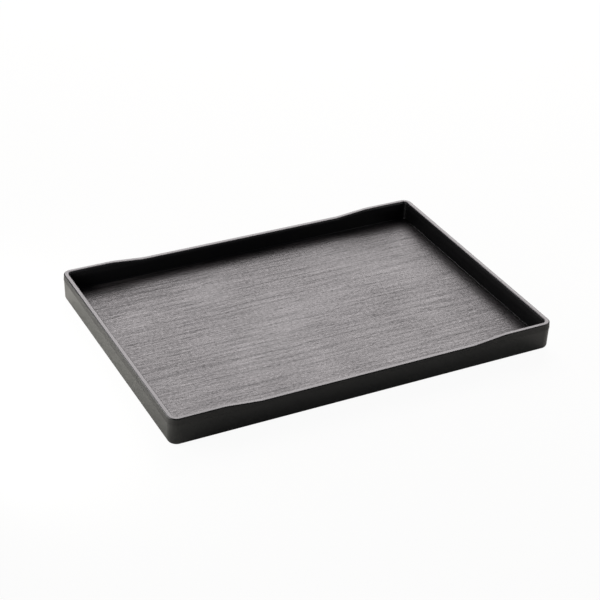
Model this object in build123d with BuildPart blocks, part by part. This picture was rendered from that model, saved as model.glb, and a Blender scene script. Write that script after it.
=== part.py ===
from build123d import *
import os

os.makedirs("parts", exist_ok=True)

# Rectangular tea tray: one moulded shell, a wood-grain deck panel bonded into its floor
# and four soft feet bonded into pockets under the base.
# X runs along the tray, Y from front to back, and Z up from the table.
# The origin is the centre of the tray on the table, under the feet.

# Outline of the shell, measured over the lower edge of its lip
tray_length = 340.0
tray_width = 240.0
shell_height = 24.0
corner_radius = 8.0
rim_width = 5.0
inner_corner_radius = 3.0
rim_outer_radius = 0.9
rim_inner_radius = 2.0

# Lip: a shallow band under the rim that stands out from the drafted wall.
# The mould parts at its lower edge, so its face leans in towards the rim.
lip_height = 5.6
lip_projection = 0.25
lip_draft = 0.45
lip_round_share = 0.6
wall_draft = 0.4
well_draft = 0.3
base_edge_radius = 2.5

# Lowered middle of both long sides, reached by a straight ramp at each end
dip_length = 190.0
dip_depth = 2.9
ramp_length = 29.0
ramp_bend_radius = 30.0

# Floor of the shell, with a ledge round the recess that the deck panel lies in
floor_thickness = 3.3
cove_radius = 0.6
ledge_width = 1.0
recess_corner_radius = 2.2

# Deck panel and the film that bonds it
panel_thickness = 1.5
panel_clearance = 0.25
panel_edge_radius = 0.3
panel_film_thickness = 0.15
panel_film_margin = 3.0

# Underside: a flat ring round the base, widened by a boss at each corner for a foot
base_ring_width = 10.0
base_recess_depth = 2.0
base_recess_corner_radius = 6.0
base_recess_edge_radius = 0.5
boss_radius = 11.0
foot_inset = 20.0

# Feet and the film that bonds each of them
foot_radius = 7.0
foot_projection = 1.0
foot_clearance = 0.25
foot_edge_radius = 0.4
foot_pocket_depth = 1.0
foot_film_thickness = 0.15
foot_film_margin = 0.4

# Overrun of every cut past the surface that it opens
cut_overrun = 2.0

# Levels above the table
base_level = foot_projection
floor_bottom_level = base_level + base_recess_depth
floor_top_level = floor_bottom_level + floor_thickness
panel_bottom_level = floor_top_level + panel_film_thickness
deck_level = panel_bottom_level + panel_thickness
rim_level = base_level + shell_height
low_rim_level = rim_level - dip_depth
lip_level = rim_level - lip_height
pocket_level = base_level + foot_pocket_depth

# Plan of the outer wall, just under the lip and at the base
wall_length = tray_length - 2 * lip_projection
wall_width = tray_width - 2 * lip_projection
wall_corner_radius = corner_radius - lip_projection
base_length = wall_length - 2 * wall_draft
base_width = wall_width - 2 * wall_draft
base_corner_radius = wall_corner_radius - wall_draft

# How far the lip's face has leaned in where it overruns the rim
lip_top_inset = lip_draft * (lip_height + cut_overrun) / lip_height

# Plan of the well, at the rim and at the deck, and of the recess in its floor
well_length = tray_length - 2 * rim_width
well_width = tray_width - 2 * rim_width
deck_length = well_length - 2 * well_draft
deck_width = well_width - 2 * well_draft
recess_length = deck_length - 2 * ledge_width
recess_width = deck_width - 2 * ledge_width

# Half lengths of the dip, at the foot and at the top of its ramps, and of the cut along the rim
dip_foot = dip_length / 2
dip_top = dip_foot + ramp_length
rim_end = tray_length / 2 + cut_overrun

# Foot centres, one near each corner
foot_x = tray_length / 2 - foot_inset
foot_y = tray_width / 2 - foot_inset
foot_places = {
    "front_left": (-foot_x, -foot_y),
    "front_right": (foot_x, -foot_y),
    "rear_left": (-foot_x, foot_y),
    "rear_right": (foot_x, foot_y),
}


# Moulded shell
with BuildPart() as tray_shell:
    # Outer wall, narrower at the base so that it leaves its mould, with a rounded base edge
    with BuildSketch(Plane.XY.offset(base_level)):
        RectangleRounded(base_length, base_width, base_corner_radius)
    with BuildSketch(Plane.XY.offset(lip_level)):
        RectangleRounded(wall_length, wall_width, wall_corner_radius)
    loft(ruled=True)
    base_face = tray_shell.faces().sort_by(Axis.Z)[0]
    fillet(base_face.edges(), base_edge_radius)

    # Lip round the top of the wall, leaning in as it rises, with its lower edge rounded
    with BuildSketch(Plane.XY.offset(lip_level)):
        RectangleRounded(tray_length, tray_width, corner_radius)
    with BuildSketch(Plane.XY.offset(rim_level + cut_overrun)):
        RectangleRounded(
            tray_length - 2 * lip_top_inset,
            tray_width - 2 * lip_top_inset,
            corner_radius - lip_top_inset,
        )
    loft(ruled=True)
    lip_underside = tray_shell.faces().filter_by(Plane.XY).group_by(Axis.Z)[1][0]
    fillet(lip_underside.outer_wire().edges(), lip_projection * lip_round_share)

    # Rim line: the wall is cut to it from end to end, through the front and the back alike.
    # Its middle is lowered, with a soft bend where each ramp begins and ends.
    with BuildSketch(Plane.XZ) as above_rim:
        with BuildLine():
            Polyline(
                (-rim_end, rim_level + 2 * cut_overrun),
                (-rim_end, rim_level),
                (-dip_top, rim_level),
                (-dip_foot, low_rim_level),
                (dip_foot, low_rim_level),
                (dip_top, rim_level),
                (rim_end, rim_level),
                (rim_end, rim_level + 2 * cut_overrun),
                close=True,
            )
        make_face()
        bend_points = above_rim.vertices().sort_by(Axis.X)[2:-2]
        fillet(bend_points, ramp_bend_radius)
    extrude(amount=tray_width / 2 + cut_overrun, both=True, mode=Mode.SUBTRACT)

    # Well, a little wider at the rim than at the deck
    with BuildSketch(Plane.XY.offset(deck_level)):
        RectangleRounded(deck_length, deck_width, inner_corner_radius)
    with BuildSketch(Plane.XY.offset(rim_level)):
        RectangleRounded(well_length, well_width, inner_corner_radius)
    loft(ruled=True, mode=Mode.SUBTRACT)

    # Rounded rim, softer towards the well: each chain of edges is taken by its right end
    outer_rim = tray_shell.edges().filter_by(Axis.Y).group_by(Axis.Z)[-1].sort_by(Axis.X)[-1]
    fillet(outer_rim, rim_outer_radius)
    inner_rim = tray_shell.edges().filter_by(Axis.Y).group_by(Axis.Z)[-1].sort_by(Axis.X)[-2]
    fillet(inner_rim, rim_inner_radius)

    # Cove where the inner wall meets the ledge
    well_floor = tray_shell.faces().filter_by(Plane.XY).group_by(Axis.Z)[1][0]
    fillet(well_floor.edges(), cove_radius)

    # Recess for the deck panel and its film
    with BuildSketch(Plane.XY.offset(floor_top_level)):
        RectangleRounded(recess_length, recess_width, recess_corner_radius)
    extrude(amount=panel_film_thickness + panel_thickness + cut_overrun, mode=Mode.SUBTRACT)

    # Recess under the base, which leaves the ring and the four bosses
    with BuildSketch(Plane.XY.offset(base_level - cut_overrun)):
        RectangleRounded(
            base_length - 2 * base_ring_width,
            base_width - 2 * base_ring_width,
            base_recess_corner_radius,
        )
        with Locations(*foot_places.values()):
            Circle(boss_radius, mode=Mode.SUBTRACT)
    extrude(amount=base_recess_depth + cut_overrun, mode=Mode.SUBTRACT)
    ring_face = tray_shell.faces().filter_by(Plane.XY).sort_by(Axis.Z)[0]
    fillet(ring_face.inner_wires()[0].edges(), base_recess_edge_radius)

    # Pockets for the feet
    with BuildSketch(Plane.XY.offset(base_level - cut_overrun)):
        with Locations(*foot_places.values()):
            Circle(foot_radius + foot_clearance)
    extrude(amount=foot_pocket_depth + cut_overrun, mode=Mode.SUBTRACT)

tray_shell.part.label = "tray_shell"
export_step(tray_shell.part, "parts/tray_shell.step")


# Deck panel, flush with the ledge round it
with BuildPart() as deck_panel:
    with BuildSketch(Plane.XY.offset(panel_bottom_level)):
        RectangleRounded(
            recess_length - 2 * panel_clearance,
            recess_width - 2 * panel_clearance,
            recess_corner_radius - panel_clearance,
        )
    extrude(amount=panel_thickness)
    fillet(deck_panel.faces().sort_by(Axis.Z)[-1].edges(), panel_edge_radius)

deck_panel.part.label = "deck_panel"
export_step(deck_panel.part, "parts/deck_panel.step")


# Film that bonds the deck panel to the floor of the shell
with BuildPart() as deck_film:
    with BuildSketch(Plane.XY.offset(floor_top_level)):
        Rectangle(
            recess_length - 2 * panel_film_margin,
            recess_width - 2 * panel_film_margin,
        )
    extrude(amount=panel_film_thickness)

deck_film.part.label = "deck_film"
export_step(deck_film.part, "parts/deck_film.step")


# Soft foot and its film, one pair in each pocket
for place, (x, y) in foot_places.items():
    with BuildPart() as foot:
        with BuildSketch(Plane((x, y, 0))):
            Circle(foot_radius)
        extrude(amount=pocket_level - foot_film_thickness)
        fillet(foot.faces().sort_by(Axis.Z)[0].edges(), foot_edge_radius)

    foot.part.label = f"foot_{place}"
    export_step(foot.part, f"parts/foot_{place}.step")

    with BuildPart() as foot_film:
        with BuildSketch(Plane((x, y, pocket_level - foot_film_thickness))):
            Circle(foot_radius - foot_film_margin)
        extrude(amount=foot_film_thickness)

    foot_film.part.label = f"foot_film_{place}"
    export_step(foot_film.part, f"parts/foot_film_{place}.step")
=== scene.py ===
import math
import bpy
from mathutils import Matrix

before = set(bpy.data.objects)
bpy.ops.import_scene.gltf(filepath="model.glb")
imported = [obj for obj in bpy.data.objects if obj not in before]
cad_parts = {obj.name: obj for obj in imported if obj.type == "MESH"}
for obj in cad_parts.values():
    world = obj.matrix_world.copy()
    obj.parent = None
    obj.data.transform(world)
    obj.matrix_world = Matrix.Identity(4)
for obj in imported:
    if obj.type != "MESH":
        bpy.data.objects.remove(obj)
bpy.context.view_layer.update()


# Camera.
# It stands 1.3 m away, left of the front and about 32 degrees up, with a long lens,
# as the photograph's does.
CAMERA_PLACE = (-0.53160, -0.99831, 0.70452)
CAMERA_TURN_DEGREES = (58.853, -1.907, -26.755)
CAMERA_SENSOR_MM = 36.0
CAMERA_LENS_MM = 94.89

bpy.ops.object.select_all(action="DESELECT")
bpy.ops.object.camera_add(
    location=CAMERA_PLACE,
    rotation=[math.radians(turn) for turn in CAMERA_TURN_DEGREES],
)
camera = bpy.context.object
camera.name = "camera"
camera.data.sensor_width = CAMERA_SENSOR_MM
camera.data.lens = CAMERA_LENS_MM
bpy.context.scene.camera = camera
bpy.context.scene.view_settings.view_transform = "Standard"


# Tray shell.
# The real body is one injection moulding in black ABS, with its walls, lip and floor in one piece.
# Its mould was spark-eroded to an even fine matt, so every face has the same satin sheen.
SHELL_BLACK = "#0a0a0b"
# Lighter grey painted in patches on the upward-facing rim top: partly rubbed wear, partly painted
# highlight
SHELL_RUBBED_HIGHLIGHT = "#262628"
GRIT_SIZE = 0.0006
GRIT_DEPTH = 0.00003
FLOW_MARK_SIZE = 0.04
FLOW_MARK_DEPTH = 0.00012
SMUDGE_SIZE = 0.012

# Roughness of the satin, and what the band under the rim and the rubbed top of the rim add to it
SATIN_SMOOTHEST = 0.335
SATIN_ROUGHEST = 0.375
LIP_ADDS = 0.13
RUBBING_ADDS = -0.06

# The band fades in between these two heights, and the top of the rim between these two upward slopes
LIP_HEIGHTS = (0.018, 0.0195)
RIM_SLOPES = (0.25, 0.85)


def linear(hex_colour):
    """sRGB hex to the linear colour that a shader takes."""
    channels = [int(hex_colour[i:i + 2], 16) / 255 for i in (1, 3, 5)]
    return tuple(c / 12.92 if c <= 0.04045 else ((c + 0.055) / 1.055) ** 2.4 for c in channels) + (1.0,)


def node(tree, kind, sockets=None, **settings):
    """Add a node with its settings. Each socket gets a number, a colour or another node's output."""
    made = tree.nodes.new(kind)
    for name, value in settings.items():
        setattr(made, name, value)
    for name, value in (sockets or {}).items():
        if isinstance(value, bpy.types.NodeSocket):
            tree.links.new(value, made.inputs[name])
        else:
            made.inputs[name].default_value = value
    return made


def new_material(name):
    """A new material, with its empty node tree."""
    material = bpy.data.materials.new(name)
    material.use_nodes = True
    material.node_tree.nodes.clear()
    return material, material.node_tree


# Moulded black ABS: IOR 1.52, deep black under a satin skin, a little duller on the lip band. The
# eroded grain is 0.1 mm in life and is drawn at 0.6 mm. Slow flow marks of about 40 mm keep the long
# reflections from being ruled, and handling has rubbed the top of the rim slightly smoother. In patches
# the upward-facing top of the rim is also painted a lighter grey, partly rubbed wear and partly painted
# highlight.
shell_material, tree = new_material("moulded_black_abs")
place = node(tree, "ShaderNodeTexCoord")
grit = node(tree, "ShaderNodeTexNoise", {"Vector": place.outputs["Object"], "Scale": 1 / GRIT_SIZE,
                                         "Detail": 2.0, "Roughness": 0.6})
flow = node(tree, "ShaderNodeTexNoise", {"Vector": place.outputs["Object"], "Scale": 1 / FLOW_MARK_SIZE,
                                         "Detail": 1.0, "Roughness": 0.4})
smudge = node(tree, "ShaderNodeTexNoise", {"Vector": place.outputs["Object"], "Scale": 1 / SMUDGE_SIZE,
                                           "Detail": 3.0, "Roughness": 0.55})
facing = node(tree, "ShaderNodeSeparateXYZ", {"Vector": place.outputs["Normal"]})
height = node(tree, "ShaderNodeSeparateXYZ", {"Vector": place.outputs["Object"]})
rim_up = node(tree, "ShaderNodeMapRange", {"Value": facing.outputs["Z"], "From Min": RIM_SLOPES[0],
                                           "From Max": RIM_SLOPES[1], "To Min": 0.0, "To Max": 1.0})
rim_high = node(tree, "ShaderNodeMapRange", {"Value": height.outputs["Z"], "From Min": LIP_HEIGHTS[0],
                                             "From Max": LIP_HEIGHTS[1], "To Min": 0.0, "To Max": 1.0})
rim_top_wear_and_highlight = node(tree, "ShaderNodeMath", {0: rim_up.outputs[0], 1: rim_high.outputs[0]},
              operation="MULTIPLY")
patchy_wear_and_highlight = node(tree, "ShaderNodeMath", {0: rim_top_wear_and_highlight.outputs[0], 1: smudge.outputs["Fac"]},
              operation="MULTIPLY")
# Painted highlight: the rim top is turned lighter grey where it faces up, in patches, together with its
# rubbed wear
colour = node(tree, "ShaderNodeMix", {"Factor": patchy_wear_and_highlight.outputs[0], "A": linear(SHELL_BLACK),
                                      "B": linear(SHELL_RUBBED_HIGHLIGHT)}, data_type="RGBA")
satin = node(tree, "ShaderNodeMapRange", {"Value": smudge.outputs["Fac"], "From Min": 0.3,
                                          "From Max": 0.7, "To Min": SATIN_SMOOTHEST,
                                          "To Max": SATIN_ROUGHEST})
upright = node(tree, "ShaderNodeMath", {0: 1.0, 1: rim_up.outputs[0]}, operation="SUBTRACT")
lip = node(tree, "ShaderNodeMath", {0: rim_high.outputs[0], 1: upright.outputs[0]},
           operation="MULTIPLY")
parted = node(tree, "ShaderNodeMath", {0: lip.outputs[0], 1: LIP_ADDS, 2: satin.outputs[0]},
              operation="MULTIPLY_ADD")
polish = node(tree, "ShaderNodeMath", {0: patchy_wear_and_highlight.outputs[0], 1: RUBBING_ADDS, 2: parted.outputs[0]},
              operation="MULTIPLY_ADD")
slow = node(tree, "ShaderNodeBump", {"Height": flow.outputs["Fac"], "Strength": 1.0,
                                     "Distance": FLOW_MARK_DEPTH})
fine = node(tree, "ShaderNodeBump", {"Height": grit.outputs["Fac"], "Normal": slow.outputs["Normal"],
                                     "Strength": 0.5, "Distance": GRIT_DEPTH})
skin = node(tree, "ShaderNodeBsdfPrincipled", {"Base Color": colour.outputs["Result"],
                                               "Roughness": polish.outputs[0], "IOR": 1.52,
                                               "Normal": fine.outputs["Normal"]})
node(tree, "ShaderNodeOutputMaterial", {"Surface": skin.outputs["BSDF"]})

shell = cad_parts["tray_shell"]
for slot in shell.material_slots:
    slot.material = shell_material


# Deck panel.
# The real one is a charcoal sheet of ABS, embossed with a wire-brushed wood grain that runs
# lengthwise, and bonded into the floor of the shell.
DECK_RIDGE = "#383535"
DECK_GROOVE = "#0a0909"

# Length and width of one mark of each kind, and the spacing of the growth rings
TOOTH_SIZE = (0.0028, 0.0018)
LINE_SIZE = (0.06, 0.0024)
PORE_SIZE = (0.022, 0.0022)
SWAY_SIZE = (0.3, 0.025)
WEAR_SIZE = (0.06, 0.009)
RING_SPACING = 0.008
DRIFT_SIZE = 0.09
HANDLED_SIZE = 0.05

# How far the whole grain drifts sideways, and the rings once more
DRIFT = 0.005
SWAY = 0.02

# Depth of the grain and of the tooth, and what a ring and a pore add to the grain, on its scale of 0 to 1
GRAIN_DEPTH = 0.00009
TOOTH_DEPTH = 0.0002
RING_ADDS = -0.2
PORE_ADDS = -0.35

# Roughness of a groove and of a ridge, and the most that the tooth and handling add to it
GROOVE_ROUGHNESS = 0.13
RIDGE_ROUGHNESS = -0.1
TOOTH_ADDS = 0.7
HANDLING_ADDS = 0.16

# Where each pattern starts, so that no two fall together
LINE_START = (5.7, 1.9, 0.0)
PORE_START = (3.1, 7.7, 0.0)
SWAY_START = (1.3, 2.9, 0.0)

# A wave texture of this scale repeats once in a metre
WAVE_PER_METRE = 0.314

# Embossed sheet: IOR 1.47, near black with a low sheen, so the eye reads the grain from where it shines.
# The press leaves a sandy tooth all over, 0.5 mm in life and drawn at 2.8 mm by 1.8 mm, brushed lines
# 2.4 mm wide and some 60 mm long, dark pores 2.2 mm by 22 mm, and the thin groove of a growth ring
# every 8 mm, which sways and wears away in places. Handling leaves cloudy patches of about 50 mm.
deck_material, tree = new_material("embossed_charcoal_sheet")
place = node(tree, "ShaderNodeTexCoord")
drift = node(tree, "ShaderNodeTexNoise", {"Vector": place.outputs["Object"], "Scale": 1 / DRIFT_SIZE,
                                          "Detail": 0.0})
drift_y = node(tree, "ShaderNodeMath", {0: drift.outputs["Fac"], 1: DRIFT, 2: -DRIFT / 2},
               operation="MULTIPLY_ADD")
drift_xyz = node(tree, "ShaderNodeCombineXYZ", {"Y": drift_y.outputs[0]})
along = node(tree, "ShaderNodeVectorMath", {0: place.outputs["Object"], 1: drift_xyz.outputs[0]},
             operation="ADD")
tooth_place = node(tree, "ShaderNodeMapping", {"Vector": place.outputs["Object"],
                                               "Scale": (1 / TOOTH_SIZE[0], 1 / TOOTH_SIZE[1], 1.0)})
tooth = node(tree, "ShaderNodeTexNoise", {"Vector": tooth_place.outputs[0], "Scale": 1.0,
                                          "Detail": 2.5, "Roughness": 0.75})
line_place = node(tree, "ShaderNodeMapping", {"Vector": along.outputs[0],
                                              "Scale": (1 / LINE_SIZE[0], 1 / LINE_SIZE[1], 1.0),
                                              "Location": LINE_START})
line = node(tree, "ShaderNodeTexNoise", {"Vector": line_place.outputs[0], "Scale": 1.0,
                                         "Detail": 2.0, "Roughness": 0.6})
pore_place = node(tree, "ShaderNodeMapping", {"Vector": along.outputs[0],
                                              "Scale": (1 / PORE_SIZE[0], 1 / PORE_SIZE[1], 1.0),
                                              "Location": PORE_START})
pore = node(tree, "ShaderNodeTexNoise", {"Vector": pore_place.outputs[0], "Scale": 1.0,
                                         "Detail": 2.0, "Roughness": 0.5})
pore_deep = node(tree, "ShaderNodeMapRange", {"Value": pore.outputs["Fac"], "From Min": 0.6,
                                              "From Max": 0.72, "To Min": 0.0, "To Max": 1.0})
sway_place = node(tree, "ShaderNodeMapping", {"Vector": along.outputs[0],
                                              "Scale": (1 / SWAY_SIZE[0], 1 / SWAY_SIZE[1], 1.0),
                                              "Location": SWAY_START})
sway = node(tree, "ShaderNodeTexNoise", {"Vector": sway_place.outputs[0], "Scale": 1.0, "Detail": 0.0})
sway_y = node(tree, "ShaderNodeMath", {0: sway.outputs["Fac"], 1: SWAY, 2: -SWAY / 2},
              operation="MULTIPLY_ADD")
sway_xyz = node(tree, "ShaderNodeCombineXYZ", {"Y": sway_y.outputs[0]})
ring_place = node(tree, "ShaderNodeVectorMath", {0: along.outputs[0], 1: sway_xyz.outputs[0]},
                  operation="ADD")
ring = node(tree, "ShaderNodeTexWave", {"Vector": ring_place.outputs[0],
                                        "Scale": WAVE_PER_METRE / RING_SPACING},
            bands_direction="Y")
ring_cut = node(tree, "ShaderNodeMapRange", {"Value": ring.outputs["Fac"], "From Min": 0.55,
                                             "From Max": 1.0, "To Min": 0.0, "To Max": 1.0})
wear_place = node(tree, "ShaderNodeMapping", {"Vector": along.outputs[0],
                                              "Scale": (1 / WEAR_SIZE[0], 1 / WEAR_SIZE[1], 1.0)})
wear = node(tree, "ShaderNodeTexNoise", {"Vector": wear_place.outputs[0], "Scale": 1.0,
                                         "Detail": 1.0, "Roughness": 0.5})
wear_gain = node(tree, "ShaderNodeMapRange", {"Value": wear.outputs["Fac"], "From Min": 0.35,
                                              "From Max": 0.65, "To Min": 0.1, "To Max": 1.0})
ring_deep = node(tree, "ShaderNodeMath", {0: ring_cut.outputs[0], 1: wear_gain.outputs[0]},
                 operation="MULTIPLY")
grain = node(tree, "ShaderNodeMath", {0: ring_deep.outputs[0], 1: RING_ADDS, 2: line.outputs["Fac"]},
             operation="MULTIPLY_ADD")
relief = node(tree, "ShaderNodeMath", {0: pore_deep.outputs[0], 1: PORE_ADDS, 2: grain.outputs[0]},
              operation="MULTIPLY_ADD")
shade = node(tree, "ShaderNodeMapRange", {"Value": relief.outputs[0], "From Min": 0.0,
                                          "From Max": 0.65, "To Min": 0.0, "To Max": 1.0})
tone = node(tree, "ShaderNodeMapRange", {"Value": relief.outputs[0], "From Min": 0.25,
                                         "From Max": 0.65, "To Min": 0.0, "To Max": 1.0})
colour = node(tree, "ShaderNodeMix", {"Factor": tone.outputs[0], "A": linear(DECK_GROOVE),
                                      "B": linear(DECK_RIDGE)}, data_type="RGBA")
flat = node(tree, "ShaderNodeMapRange", {"Value": shade.outputs[0], "From Min": 0.0, "From Max": 1.0,
                                         "To Min": GROOVE_ROUGHNESS, "To Max": RIDGE_ROUGHNESS})
cloud = node(tree, "ShaderNodeTexNoise", {"Vector": place.outputs["Object"], "Scale": 1 / HANDLED_SIZE,
                                          "Detail": 1.0, "Roughness": 0.5})
handled = node(tree, "ShaderNodeMath", {0: cloud.outputs["Fac"], 1: HANDLING_ADDS, 2: flat.outputs[0]},
               operation="MULTIPLY_ADD")
sheen = node(tree, "ShaderNodeMath", {0: tooth.outputs["Fac"], 1: TOOTH_ADDS, 2: handled.outputs[0]},
             operation="MULTIPLY_ADD")
cut = node(tree, "ShaderNodeBump", {"Height": relief.outputs[0], "Strength": 1.0,
                                    "Distance": GRAIN_DEPTH})
sandy = node(tree, "ShaderNodeBump", {"Height": tooth.outputs["Fac"], "Normal": cut.outputs["Normal"],
                                      "Strength": 1.0, "Distance": TOOTH_DEPTH})
skin = node(tree, "ShaderNodeBsdfPrincipled", {"Base Color": colour.outputs["Result"],
                                               "Roughness": sheen.outputs[0], "IOR": 1.47,
                                               "Normal": sandy.outputs["Normal"]})
node(tree, "ShaderNodeOutputMaterial", {"Surface": skin.outputs["BSDF"]})

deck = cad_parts["deck_panel"]
for slot in deck.material_slots:
    slot.material = deck_material


# Feet.
# The real ones are four discs die-cut from sheets of black rubber, each bonded into a pocket under
# the base, where they grip the table.
RUBBER_BLACK = "#1b1b1c"
RUBBER_SMOOTHEST = 0.74
RUBBER_ROUGHEST = 0.86
RUBBER_GRAIN_SIZE = 0.0005
RUBBER_GRAIN_DEPTH = 0.00005

# Vulcanised rubber: IOR 1.52 and fully matt, with a fine cloth-like grain of about 0.5 mm.
foot_material, tree = new_material("vulcanised_black_rubber")
place = node(tree, "ShaderNodeTexCoord")
grain = node(tree, "ShaderNodeTexNoise", {"Vector": place.outputs["Object"],
                                          "Scale": 1 / RUBBER_GRAIN_SIZE,
                                          "Detail": 2.0, "Roughness": 0.6})
dust = node(tree, "ShaderNodeMapRange", {"Value": grain.outputs["Fac"], "From Min": 0.3,
                                         "From Max": 0.7, "To Min": RUBBER_SMOOTHEST,
                                         "To Max": RUBBER_ROUGHEST})
pressed = node(tree, "ShaderNodeBump", {"Height": grain.outputs["Fac"], "Strength": 0.6,
                                        "Distance": RUBBER_GRAIN_DEPTH})
skin = node(tree, "ShaderNodeBsdfPrincipled", {"Base Color": linear(RUBBER_BLACK), "IOR": 1.52,
                                               "Roughness": dust.outputs[0],
                                               "Normal": pressed.outputs["Normal"]})
node(tree, "ShaderNodeOutputMaterial", {"Surface": skin.outputs["BSDF"]})

for corner in ("front_left", "front_right", "rear_left", "rear_right"):
    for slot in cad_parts["foot_" + corner].material_slots:
        slot.material = foot_material


# Adhesive films.
# The real ones are sheets of double-sided tissue tape, one under the deck and one behind each foot,
# so only their edges could ever be seen.
TAPE_CREAM = "#c4c0b4"
TAPE_FIBRE = "#aaa698"
FIBRE_SIZE = 0.002
FIBRE_DEPTH = 0.00002

# Acrylic tissue tape: a soft cream with pale tissue fibres of about 2 mm.
film_material, tree = new_material("acrylic_tissue_tape")
place = node(tree, "ShaderNodeTexCoord")
tissue = node(tree, "ShaderNodeTexNoise", {"Vector": place.outputs["Object"], "Scale": 1 / FIBRE_SIZE,
                                           "Detail": 3.0, "Roughness": 0.6})
colour = node(tree, "ShaderNodeMix", {"Factor": tissue.outputs["Fac"], "A": linear(TAPE_CREAM),
                                      "B": linear(TAPE_FIBRE)}, data_type="RGBA")
lay = node(tree, "ShaderNodeBump", {"Height": tissue.outputs["Fac"], "Strength": 0.4,
                                    "Distance": FIBRE_DEPTH})
skin = node(tree, "ShaderNodeBsdfPrincipled", {"Base Color": colour.outputs["Result"], "IOR": 1.47,
                                               "Roughness": 0.5, "Normal": lay.outputs["Normal"]})
node(tree, "ShaderNodeOutputMaterial", {"Surface": skin.outputs["BSDF"]})

for film in ("deck_film", "foot_film_front_left", "foot_film_front_right", "foot_film_rear_left",
             "foot_film_rear_right"):
    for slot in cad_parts[film].material_slots:
        slot.material = film_material


# Studio.
# A white table, with one large soft light and a strip behind the tray to the right, as the
# photograph's sheen shows, a small low light on the left and a weak one at the front right.
TABLE_WHITE = "#f3f3ea"
TABLE_SIZE = 16.0
PLAIN_WHITE = (1.0, 1.0, 1.0, 1.0)

# Light that the room throws back
ROOM_FILL = (0.6, 0.75, 1.2, 1.0)
ROOM_FILL_STRENGTH = 0.025

# Share of the plain white that each kind of ray sees in place of the lit table
CAMERA_SEES = 0.95
GLOSS_SEES = 0.05
GLASS_SEES = 0.7

bpy.ops.object.select_all(action="DESELECT")
bpy.ops.mesh.primitive_plane_add(size=TABLE_SIZE, location=(0.0, 0.0, 0.0))
table = bpy.context.object
table.name = "table"

# Matt white laminate. A camera ray sees it mostly as plain white, and the object's shadow stays.
table_material, tree = new_material("matt_white_laminate")
ray = node(tree, "ShaderNodeLightPath")
lit = node(tree, "ShaderNodeBsdfDiffuse", {"Color": linear(TABLE_WHITE)})
plain = node(tree, "ShaderNodeEmission", {"Color": PLAIN_WHITE, "Strength": 1.0})
seen = node(tree, "ShaderNodeMath", {0: ray.outputs["Is Camera Ray"], 1: CAMERA_SEES},
            operation="MULTIPLY")
mirrored = node(tree, "ShaderNodeMath", {0: ray.outputs["Is Glossy Ray"], 1: GLOSS_SEES,
                                         2: seen.outputs[0]}, operation="MULTIPLY_ADD")
shown = node(tree, "ShaderNodeMath", {0: ray.outputs["Is Transmission Ray"], 1: GLASS_SEES,
                                      2: mirrored.outputs[0]}, operation="MULTIPLY_ADD")
top = node(tree, "ShaderNodeMixShader", {0: shown.outputs[0], 1: lit.outputs[0], 2: plain.outputs[0]})
node(tree, "ShaderNodeOutputMaterial", {"Surface": top.outputs[0]})
table.data.materials.append(table_material)

world = bpy.data.worlds.new("room")
bpy.context.scene.world = world
world.use_nodes = True
tree = world.node_tree
tree.nodes.clear()
ray = node(tree, "ShaderNodeLightPath")
fill = node(tree, "ShaderNodeBackground", {"Color": ROOM_FILL, "Strength": ROOM_FILL_STRENGTH})
white = node(tree, "ShaderNodeBackground", {"Color": PLAIN_WHITE, "Strength": 1.0})
seen = node(tree, "ShaderNodeMath", {0: ray.outputs["Is Camera Ray"],
                                     1: ray.outputs["Is Transmission Ray"]}, operation="MAXIMUM")
wall = node(tree, "ShaderNodeMixShader", {0: seen.outputs[0], 1: fill.outputs[0], 2: white.outputs[0]})
node(tree, "ShaderNodeOutputWorld", {"Surface": wall.outputs[0]})


def soft_light(name, azimuth, elevation, distance, width, height, radiance, tint):
    """A rectangular area light that faces the tray. Azimuth turns from +Y towards +X."""
    around = math.radians(azimuth)
    up = math.radians(elevation)
    bpy.ops.object.light_add(
        type="AREA",
        location=(distance * math.sin(around) * math.cos(up),
                  distance * math.cos(around) * math.cos(up),
                  distance * math.sin(up)),
        rotation=(math.radians(90.0) - up, 0.0, math.pi - around),
    )
    lamp = bpy.context.object
    lamp.name = name
    lamp.data.shape = "RECTANGLE"
    lamp.data.size = width
    lamp.data.size_y = height
    lamp.data.energy = radiance * math.pi * width * height
    lamp.data.color = tint
    lamp.visible_camera = False


soft_light("back_softbox", azimuth=27.0, elevation=33.0, distance=1.6, width=1.45, height=1.85,
           radiance=3.6, tint=(1.0, 0.945, 0.955))
soft_light("strip_softbox", azimuth=29.0, elevation=37.0, distance=1.5, width=1.1, height=0.36,
           radiance=4.2, tint=(1.0, 0.95, 0.97))
soft_light("left_softbox", azimuth=-85.0, elevation=16.0, distance=0.3, width=0.3, height=0.08,
           radiance=7.3, tint=(1.0, 0.985, 0.975))
soft_light("front_softbox", azimuth=112.0, elevation=25.0, distance=0.6, width=0.25, height=0.25,
           radiance=2.4, tint=(1.0, 1.0, 0.98))
